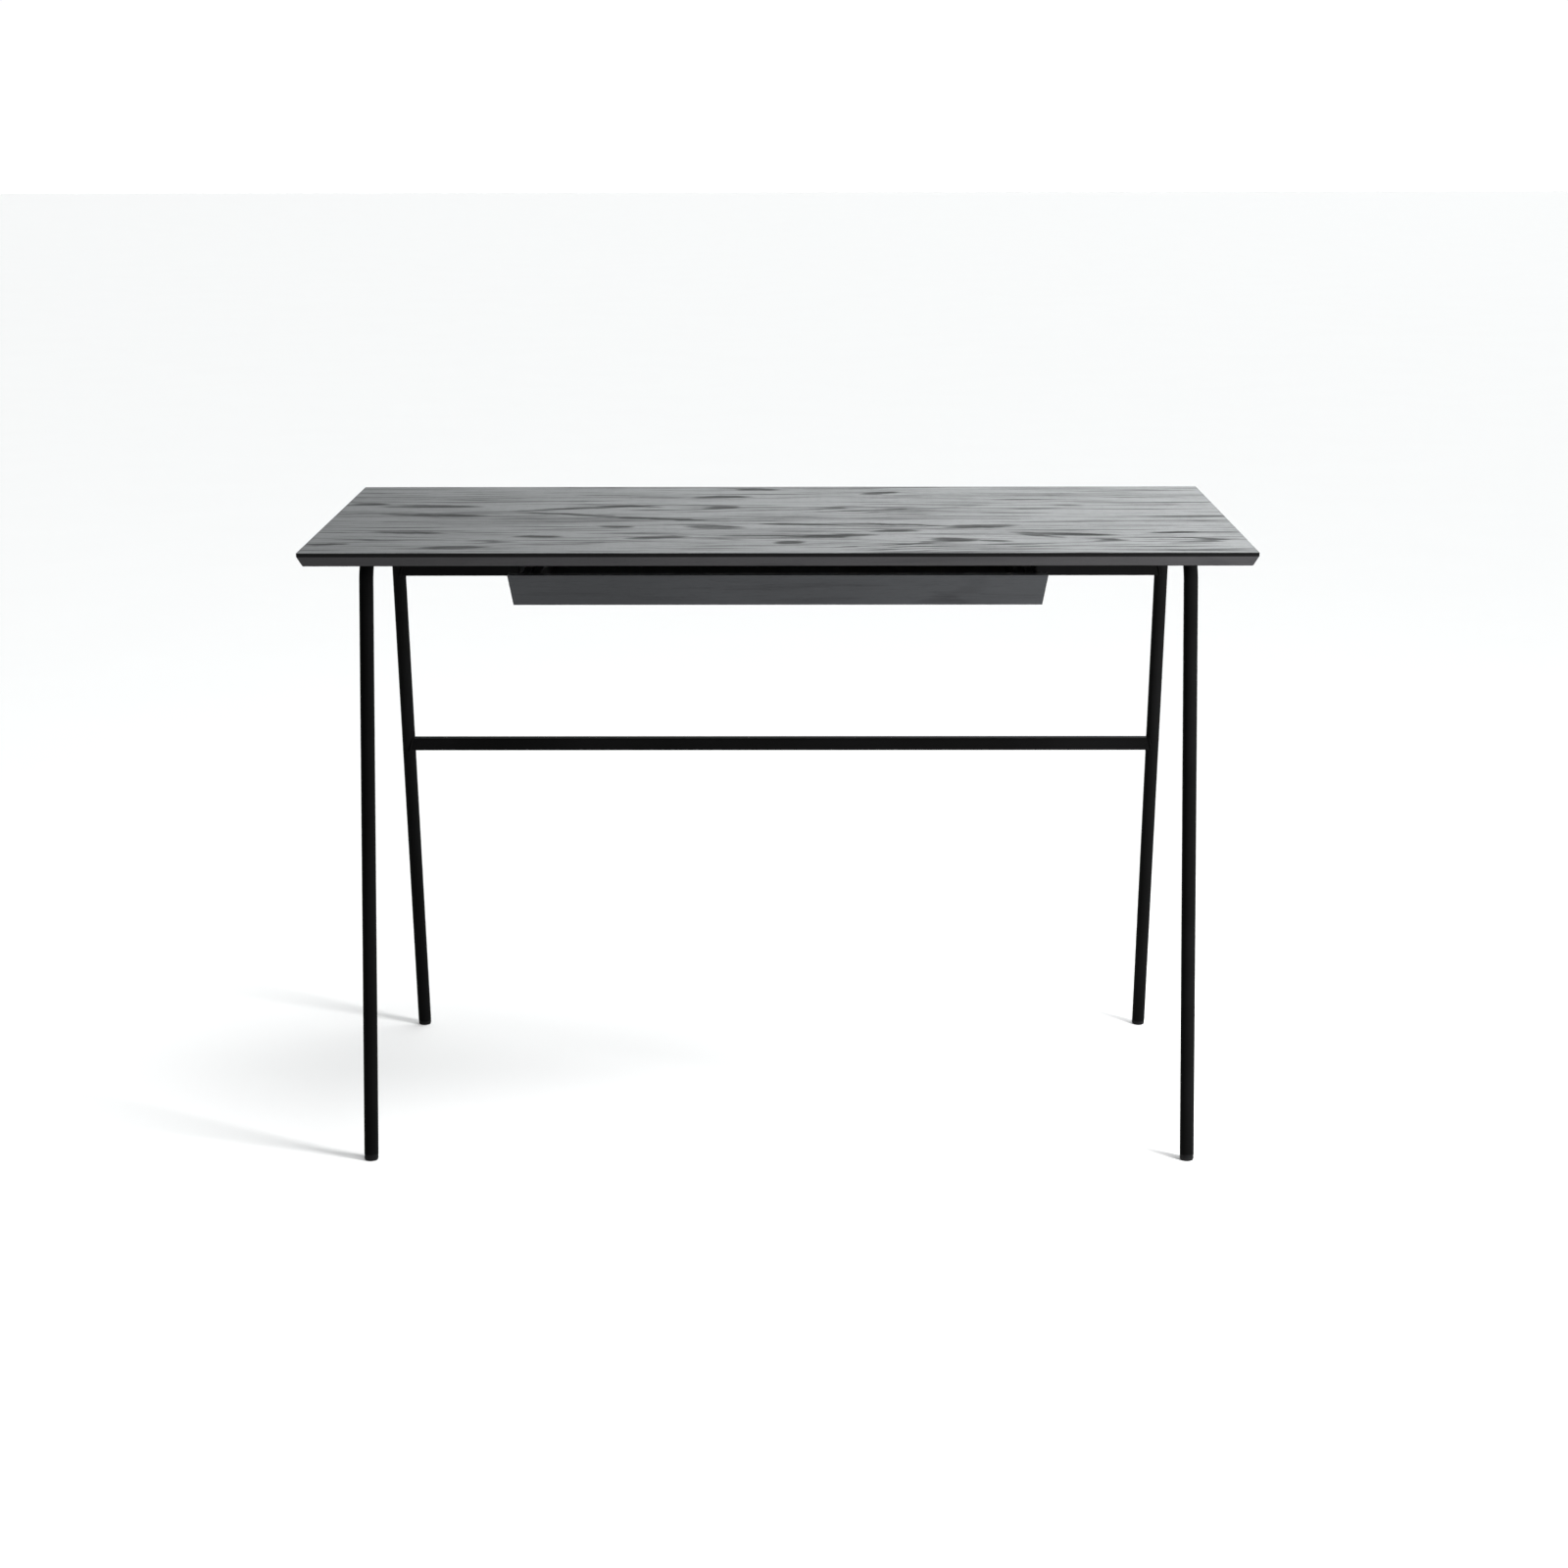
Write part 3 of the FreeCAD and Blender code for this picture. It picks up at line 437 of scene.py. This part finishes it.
def loft(rings, close_ends=True, loop=False):
    """Verts and faces of a skin over rings of equal count; loop joins the last to the first."""
    count = len(rings[0])
    verts = [v for ring in rings for v in ring]
    faces = []
    last = len(rings) if loop else len(rings) - 1
    for i in range(last):
        a, b = i * count, ((i + 1) % len(rings)) * count
        for j in range(count):
            k = (j + 1) % count
            faces.append((a + j, a + k, b + k, b + j))
    if close_ends and not loop:
        faces.append(tuple(range(count))[::-1])
        faces.append(tuple((len(rings) - 1) * count + j for j in range(count)))
    return verts, faces


def tube_path():
    """Centre line of one side frame in its own plane, as (y, z, direction angle)."""
    setback = BEND * math.tan((math.pi / 2 - LEAN) / 2)
    top_y = leg_y(RUN_Z)
    run_y = top_y - setback
    centre_z = RUN_Z - BEND
    start = (FOOT_Y - FOOT_RISE * math.sin(LEAN), FOOT_RISE * math.cos(LEAN))
    half = [(*start, LEAN)]
    knee = (run_y + BEND * math.cos(LEAN), centre_z + BEND * math.sin(LEAN))
    for part in (0.25, 0.5, 0.75):
        half.append((start[0] + (knee[0] - start[0]) * part, start[1] + (knee[1] - start[1]) * part, LEAN))
    steps = 24
    for i in range(steps + 1):
        angle = LEAN + (math.pi / 2 - LEAN) * i / steps
        half.append((run_y + BEND * math.cos(angle), centre_z + BEND * math.sin(angle), angle))
    return half + [(-y, z, math.pi - angle) for y, z, angle in reversed(half)]


def inner_rim(ring, centre):
    """The bore's edge inside one end of the tube."""
    scale = (TUBE_R - TUBE_WALL) / TUBE_R
    return [tuple(c + (v - c) * scale for v, c in zip(point, centre)) for point in ring]


def side_frame(side, sign):
    rings = []
    count = 48
    path = tube_path()
    for y, z, angle in path:
        out_y, out_z = math.cos(angle), math.sin(angle)
        ring = []
        for k in range(count):
            turn = 2.0 * math.pi * k / count
            reach = TUBE_R * math.cos(turn)
            ring.append((sign * FRAME_X + TUBE_R * math.sin(turn), y + out_y * reach, z + out_z * reach))
        rings.append(ring)
    centre = (sign * FRAME_X, *path[0][:2]), (sign * FRAME_X, *path[-1][:2])
    rings.append(inner_rim(rings[-1], centre[1]))
    rings.insert(0, inner_rim(rings[0], centre[0]))
    verts, faces = loft(rings, close_ends=False)
    node = side + "_side_frame"
    put(side + "_bent_tube", mesh_of(node + "_skin", verts, faces), DESK, "black_steel", "black_steel", node)


def rounded_square(half, radius, steps=6):
    points = []
    for quarter in range(4):
        start = quarter * math.pi / 2
        cx = (half - radius) * (1 if quarter in (0, 3) else -1)
        cy = (half - radius) * (1 if quarter in (0, 1) else -1)
        for i in range(steps + 1):
            angle = start + (math.pi / 2) * i / steps
            points.append((cx + radius * math.cos(angle), cy + radius * math.sin(angle)))
    return points


def cope_x(y, z):
    """How far from the leg's axis plane a rail end stops against the round leg."""
    across = (y - leg_y(z)) * math.cos(LEAN)
    return FRAME_X - math.sqrt(max(TUBE_R ** 2 - across ** 2, 0.0022 ** 2))


def square_rail(name, height):
    centre = leg_y(height)
    outline = [(centre + a, height + b) for a, b in rounded_square(RAIL_HALF, 0.0016)]
    stations = [-1.0, -0.5, 0.0, 0.5, 1.0]
    rings = [[(part * cope_x(y, z), y, z) for y, z in outline] for part in stations]
    verts, faces = loft(rings, close_ends=False)
    put(name + "_tube", mesh_of(name + "_skin", verts, faces), DESK, "black_steel", "black_steel", name)
    for side, sign in SIDES.items():
        bead = [(centre + a, height + b) for a, b in rounded_square(RAIL_HALF + 0.0002, 0.0022, 10)]
        weld(name + "_weld_" + side, [(sign * (cope_x(y, z) - 0.0002), y, z) for y, z in bead])


def resample(points, step, closed=True):
    line = [Vector(p) for p in points]
    if closed:
        line.append(line[0])
    lengths = [(b - a).length for a, b in zip(line, line[1:])]
    count = max(8, int(sum(lengths) / step))
    out, seg, walked = [], 0, 0.0
    total = sum(lengths)
    for i in range(count if closed else count + 1):
        target = total * i / count
        while seg < len(lengths) - 1 and walked + lengths[seg] < target:
            walked += lengths[seg]
            seg += 1
        part = (target - walked) / lengths[seg] if lengths[seg] else 0.0
        out.append(line[seg].lerp(line[seg + 1], min(part, 1.0)))
    return out


def weld(name, points, radius=0.0013, closed=True):
    """Rippled weld bead along a line of points."""
    line = resample(points, 0.0006, closed)
    count = len(line)
    rings = []
    travelled = 0.0
    for i, p in enumerate(line):
        ahead = line[(i + 1) % count] if closed or i < count - 1 else line[i]
        behind = line[i - 1] if closed or i > 0 else line[i]
        along = (ahead - behind).normalized()
        travelled += (p - line[i - 1]).length if i else 0.0
        ripple = 1.0 + 0.12 * abs(math.sin(math.pi * travelled / 0.0017)) - 0.06
        if not closed:
            ripple *= min(1.0, 0.35 + 2.0 * min(i, count - 1 - i) / count)
        side = along.cross(Vector((0.31, 0.52, 0.79))).normalized()
        other = along.cross(side).normalized()
        ring = []
        for k in range(10):
            turn = 2.0 * math.pi * k / 10
            ring.append(p + (side * math.cos(turn) + other * math.sin(turn)) * radius * ripple)
        rings.append(ring)
    verts, faces = loft(rings, loop=closed)
    put(name, mesh_of(name, verts, faces), DESK, "black_steel", "black_steel", smooth_angle=60.0)


def tab_welds():
    """Two short beads join each fixing plate to the level run of the tube."""
    inward = math.sqrt(TUBE_R ** 2 - (TAB_BOTTOM - RUN_Z) ** 2)
    for side, sign in SIDES.items():
        for end, way in ENDS.items():
            x = sign * (FRAME_X - inward - 0.0003)
            z = TAB_BOTTOM - 0.0003
            for number, middle in enumerate((0.066, 0.094)):
                ends = [(x, way * (middle - 0.006), z), (x, way * (middle + 0.006), z)]
                weld("%s_%s_tab_weld_%d" % (end, side, number), ends, radius=0.0012, closed=False)


def foot_glide(end, way, side, sign):
    """Moulded glide: stem in the tube, collar, shallow ring and a rounded sole cut level."""
    lip, plug = TUBE_R - 0.00012, TUBE_R - TUBE_WALL - 0.00005
    profile = [
        (0.0, -0.002), (lip - 0.0049, -0.002), (lip - 0.0032, -0.0019), (lip - 0.0021, -0.0015),
        (lip - 0.0012, -0.0007), (lip - 0.0006, 0.0003), (lip - 0.0002, 0.0014), (lip, 0.0026), (lip, 0.0043),
        (lip - 0.0003, 0.0046), (lip - 0.0003, 0.0051), (lip, 0.0054), (lip, 0.0067),
        (lip - 0.0002, FOOT_RISE),
        (plug, FOOT_RISE), (plug, 0.0210), (plug - 0.0006, 0.0230), (0.0, 0.0230),
    ]
    count = 40
    lean = way * LEAN
    rings = []
    for radius, height in profile:
        ring = []
        for k in range(count):
            turn = 2.0 * math.pi * k / count
            x, y = max(radius, 0.00001) * math.cos(turn), max(radius, 0.00001) * math.sin(turn)
            world_y = way * FOOT_Y + y * math.cos(lean) - height * math.sin(lean)
            world_z = y * math.sin(lean) + height * math.cos(lean)
            ring.append((sign * FRAME_X + x, world_y, max(world_z, 0.0)))
        rings.append(ring)
    verts, faces = loft(rings)
    node = "%s_%s_foot" % (end, side)
    skin = mesh_of(node + "_skin", verts, faces)
    put(node + "_glide", skin, DESK, "black_plastic", "black_plastic", node, smooth_angle=40.0)


def screw_mesh(shank_r, length, head_r, head_h):
    """Screw along +Z from its seat at z 0, head below; a pan head with a cross recess."""
    profile = [
        (0.0, -head_h), (0.45, -head_h), (0.72, -head_h * 0.9), (0.9, -head_h * 0.68),
        (0.99, -head_h * 0.38), (1.0, -0.0001),
    ]
    rings = []
    count = 28
    heights = [(r * head_r, z) for r, z in profile] + [(head_r * 0.97, 0.0), (shank_r, 0.0)]
    pitch = 0.0012
    z = 0.001
    while z < length - 0.0035:
        heights += [(shank_r, z), (shank_r * 0.72, z + pitch * 0.5)]
        z += pitch
    heights += [(shank_r * 0.7, length - 0.0028), (0.00002, length)]
    for radius, height in heights:
        radius = max(radius, 0.00001)
        turns = [2 * math.pi * k / count for k in range(count)]
        rings.append([(radius * math.cos(turn), radius * math.sin(turn), height) for turn in turns])
    verts, faces = loft(rings)
    item = bpy.data.objects.new("screw_work", mesh_of("screw", verts, faces))
    bpy.context.scene.collection.objects.link(item)
    arm, wide, deep = head_r * 0.58, head_r * 0.17, head_h * 0.62
    tool = bmesh.new()
    for turn in (0.0, math.pi / 2):
        size = Matrix.Diagonal((arm * 2, wide * 2, deep * 2, 1.0))
        stand = Matrix.Translation((0, 0, -head_h)) @ Matrix.Rotation(turn, 4, "Z")
        bmesh.ops.create_cube(tool, size=1.0, matrix=stand @ size)
    cutter_mesh = bpy.data.meshes.new("cross")
    tool.to_mesh(cutter_mesh)
    tool.free()
    cutter = bpy.data.objects.new("cross", cutter_mesh)
    bpy.context.scene.collection.objects.link(cutter)
    cut = item.modifiers.new("recess", "BOOLEAN")
    cut.object, cut.operation, cut.solver, cut.use_self = cutter, "DIFFERENCE", "EXACT", True
    bpy.context.view_layer.update()
    done = bpy.data.meshes.new_from_object(item.evaluated_get(bpy.context.evaluated_depsgraph_get()))
    bpy.data.objects.remove(item)
    bpy.data.objects.remove(cutter)
    return done


def screws(node, body, shape, spots):
    """One object for a whole group: each spot is a seat point and the way the shank points."""
    source = screw_mesh(*shape)
    group = bmesh.new()
    for number, (seat, way) in enumerate(spots):
        turn = Vector((0, 0, 1)).rotation_difference(Vector(way)).to_matrix().to_4x4()
        spin = Matrix.Rotation(0.7 * number + 0.3, 4, "Z")
        copy = source.copy()
        copy.transform(Matrix.Translation(seat) @ turn @ spin)
        group.from_mesh(copy)
        bpy.data.meshes.remove(copy)
    mesh = bpy.data.meshes.new(node + "_skin")
    group.to_mesh(mesh)
    group.free()
    put(node + "_set", mesh, body, "zinc_steel", "zinc_steel", node)


def mirrored(points):
    return [(sign * x, y, z) for sign in (-1.0, 1.0) for x, y, z in points]


SLIDE_Y = (-0.180, -0.070, 0.040)
HANGER_Y = (-0.190, -0.070, 0.050)
SLIDE_Z = 0.689
BACK_Y = 0.103
JOINT_Z = (0.6865, 0.6975)
UP = (0.0, 0.0, 1.0)


def all_screws():
    tab_seats = [(0.472, way * (0.08 + step), 0.721) for way in (-1, 1) for step in (-0.012, 0.012)]
    screws("tab_screws", DESK, (0.00175, 0.012, 0.0034, 0.0022), [(p, UP) for p in mirrored(tab_seats)])
    flange_seats = [(0.311, y, 0.722) for y in HANGER_Y]
    screws("hanger_screws", DESK, (0.00175, 0.011, 0.0034, 0.0022), [(p, UP) for p in mirrored(flange_seats)])
    for node, body, x, shape, inward in (
        ("slide_bolts", DESK, 0.302, (0.00175, 0.0032, 0.0034, 0.002), True),
        ("slide_screws", DRAWER, 0.2892, (0.00175, 0.008, 0.0034, 0.002), True),
    ):
        spots = [(p, (-math.copysign(1.0, p[0]), 0, 0)) for p in mirrored([(x, y, SLIDE_Z) for y in SLIDE_Y])]
        screws(node, body, shape, spots)
    seats = mirrored([(0.286, BACK_Y, z) for z in JOINT_Z])
    back = [(p, (-math.copysign(1.0, p[0]), 0, 0)) for p in seats]
    screws("drawer_back_screws", DRAWER, (0.00175, 0.024, 0.0034, 0.0019), back)
    below = [((x, BACK_Y, 0.677), UP) for x in (-0.18, 0.0, 0.18)]
    screws("drawer_bottom_screws", DRAWER, (0.00175, 0.012, 0.0034, 0.002), below)


def soften(width, *names, segments=2):
    """A small round along the sharp edges of CAD nodes."""
    for name in names:
        edge = NODES[name].modifiers.new("arris", "BEVEL")
        edge.width = width
        edge.segments = segments
        edge.limit_method = "ANGLE"
        edge.angle_limit = math.radians(25.0)
        edge.harden_normals = True


for side, sign in SIDES.items():
    side_frame(side, sign)
    for end, way in ENDS.items():
        foot_glide(end, way, side, sign)
for name, height in RAILS.items():
    square_rail(name, height)
tab_welds()
all_screws()
soften(0.00025, "top_veneer")
soften(0.0005, "front_lipping", "rear_lipping", "left_lipping", "right_lipping")
soften(0.0009, "drawer_front", segments=3)
soften(0.0006, "drawer_left_side", "drawer_right_side", "drawer_back")
soften(
    0.0004, "front_left_tab", "front_right_tab", "rear_left_tab", "rear_right_tab",
    "left_hanger", "right_hanger",
)
soften(
    0.00025, "left_slide_outer", "right_slide_outer", "left_slide_middle", "right_slide_middle",
    "left_slide_inner", "right_slide_inner",
)

# ---------------------------------------------------------------------------------------------
# Stage, light and camera.
# ---------------------------------------------------------------------------------------------

WORLD_BASE, WORLD_BACK, WORLD_RIGHT, WORLD_UP = 0.20, 0.36, 0.22, 0.20
WORLD_SHEEN = 10.0
FLOOR_GLOW = 0.17


def floor():
    mesh = bpy.data.meshes.new("studio_floor")
    half = 30.0
    corners = [(-half, -half, 0), (half, -half, 0), (half, half, 0), (-half, half, 0)]
    mesh.from_pydata(corners, [], [(0, 1, 2, 3)])
    item = bpy.data.objects.new("studio_floor", mesh)
    bpy.context.scene.collection.objects.link(item)
    m = Maker("pale studio floor")
    grain = m.noise(m.scaled((1.0, 1.0, 1.0)), scale=3.0, detail=3.0)
    colour = m.mix(grain, (0.79, 0.79, 0.79), (0.81, 0.81, 0.81))
    m.set(Specular_IOR_Level=0.1, Roughness=0.9, Emission_Strength=FLOOR_GLOW)
    m.set(Emission_Color=(1.0, 1.0, 1.0, 1.0))
    m.link(colour, m.shader.inputs["Base Color"])
    mesh.materials.append(m.mat)


def soft_box(name, place, aim, size, power, seen_in_gloss=True):
    data = bpy.data.lights.new(name, "AREA")
    data.shape = "RECTANGLE"
    data.size, data.size_y = size
    data.energy = power
    lamp = bpy.data.objects.new(name, data)
    bpy.context.scene.collection.objects.link(lamp)
    lamp.location = place
    lamp.rotation_euler = (Vector(aim) - Vector(place)).to_track_quat("-Z", "Y").to_euler()
    lamp.visible_camera = False
    lamp.visible_glossy = seen_in_gloss
    return lamp


def studio_world():
    """White to the eye; as light it is brighter behind and on the right, dimmer in front."""
    world = bpy.data.worlds.new("studio")
    bpy.context.scene.world = world
    world.use_nodes = True
    tree = world.node_tree
    tree.nodes.clear()
    out = tree.nodes.new("ShaderNodeOutputWorld")
    seen = tree.nodes.new("ShaderNodeBackground")
    seen.inputs["Color"].default_value = (1.0, 1.0, 1.0, 1.0)
    seen.inputs["Strength"].default_value = 1.02
    lit = tree.nodes.new("ShaderNodeBackground")
    lit.inputs["Color"].default_value = (0.965, 1.0, 1.0, 1.0)
    coords = tree.nodes.new("ShaderNodeTexCoord")
    parts = tree.nodes.new("ShaderNodeSeparateXYZ")
    tree.links.new(coords.outputs["Generated"], parts.inputs[0])

    def calc(operation, a, b):
        node = tree.nodes.new("ShaderNodeMath")
        node.operation = operation
        for socket, value in zip(node.inputs, (a, b)):
            if isinstance(value, bpy.types.NodeSocket):
                tree.links.new(value, socket)
            else:
                socket.default_value = value
        return node.outputs[0]

    level = calc("ADD", calc("MULTIPLY", parts.outputs[1], WORLD_BACK), WORLD_BASE)
    level = calc("ADD", level, calc("MULTIPLY", parts.outputs[0], WORLD_RIGHT))
    level = calc("ADD", level, calc("MULTIPLY", parts.outputs[2], WORLD_UP))
    level = calc("MAXIMUM", level, 0.04)
    side = calc("MAXIMUM", calc("ADD", parts.outputs[0], 0.2), 0.0)
    behind = calc("POWER", calc("MAXIMUM", parts.outputs[1], 0.0), 8.0)
    level = calc("ADD", level, calc("MULTIPLY", calc("MULTIPLY", side, behind), WORLD_SHEEN))
    tree.links.new(level, lit.inputs["Strength"])
    path = tree.nodes.new("ShaderNodeLightPath")
    choose = tree.nodes.new("ShaderNodeMixShader")
    tree.links.new(path.outputs["Is Camera Ray"], choose.inputs[0])
    tree.links.new(lit.outputs[0], choose.inputs[1])
    tree.links.new(seen.outputs[0], choose.inputs[2])
    tree.links.new(choose.outputs[0], out.inputs["Surface"])




def sun(name, direction, strength, spread):
    data = bpy.data.lights.new(name, "SUN")
    data.energy = strength
    data.angle = math.radians(spread)
    lamp = bpy.data.objects.new(name, data)
    bpy.context.scene.collection.objects.link(lamp)
    lamp.rotation_euler = Vector(direction).to_track_quat("-Z", "Y").to_euler()


floor()
studio_world()
sun("high_soft", (-0.38, 0.1, -0.92), 1.9, 45.0)
soft_box("near_right", (1.7, -1.15, 0.75), (-0.1, -0.25, 0.5), (0.6, 0.6), 125.0, seen_in_gloss=False)

FOCAL, CAMERA_AT = 67.96, (0.0247, -3.6265, 1.2696)
YAW, PITCH, ROLL = -0.00525, 0.23483, -0.00175


def camera():
    data = bpy.data.cameras.new("camera")
    data.lens = FOCAL
    data.sensor_width = 36.0
    data.clip_end = 100.0
    item = bpy.data.objects.new("camera", data)
    bpy.context.scene.collection.objects.link(item)
    ahead = Vector((math.sin(YAW) * math.cos(PITCH), math.cos(YAW) * math.cos(PITCH), -math.sin(PITCH)))
    right = Vector((math.cos(YAW), -math.sin(YAW), 0.0))
    up = right.cross(ahead)
    side = math.cos(ROLL) * right + math.sin(ROLL) * up
    top = -math.sin(ROLL) * right + math.cos(ROLL) * up
    turn = Matrix((side, top, -ahead)).transposed().to_4x4()
    item.matrix_world = Matrix.Translation(CAMERA_AT) @ turn
    bpy.context.scene.camera = item


camera()
bpy.context.scene.view_settings.view_transform = "Standard"
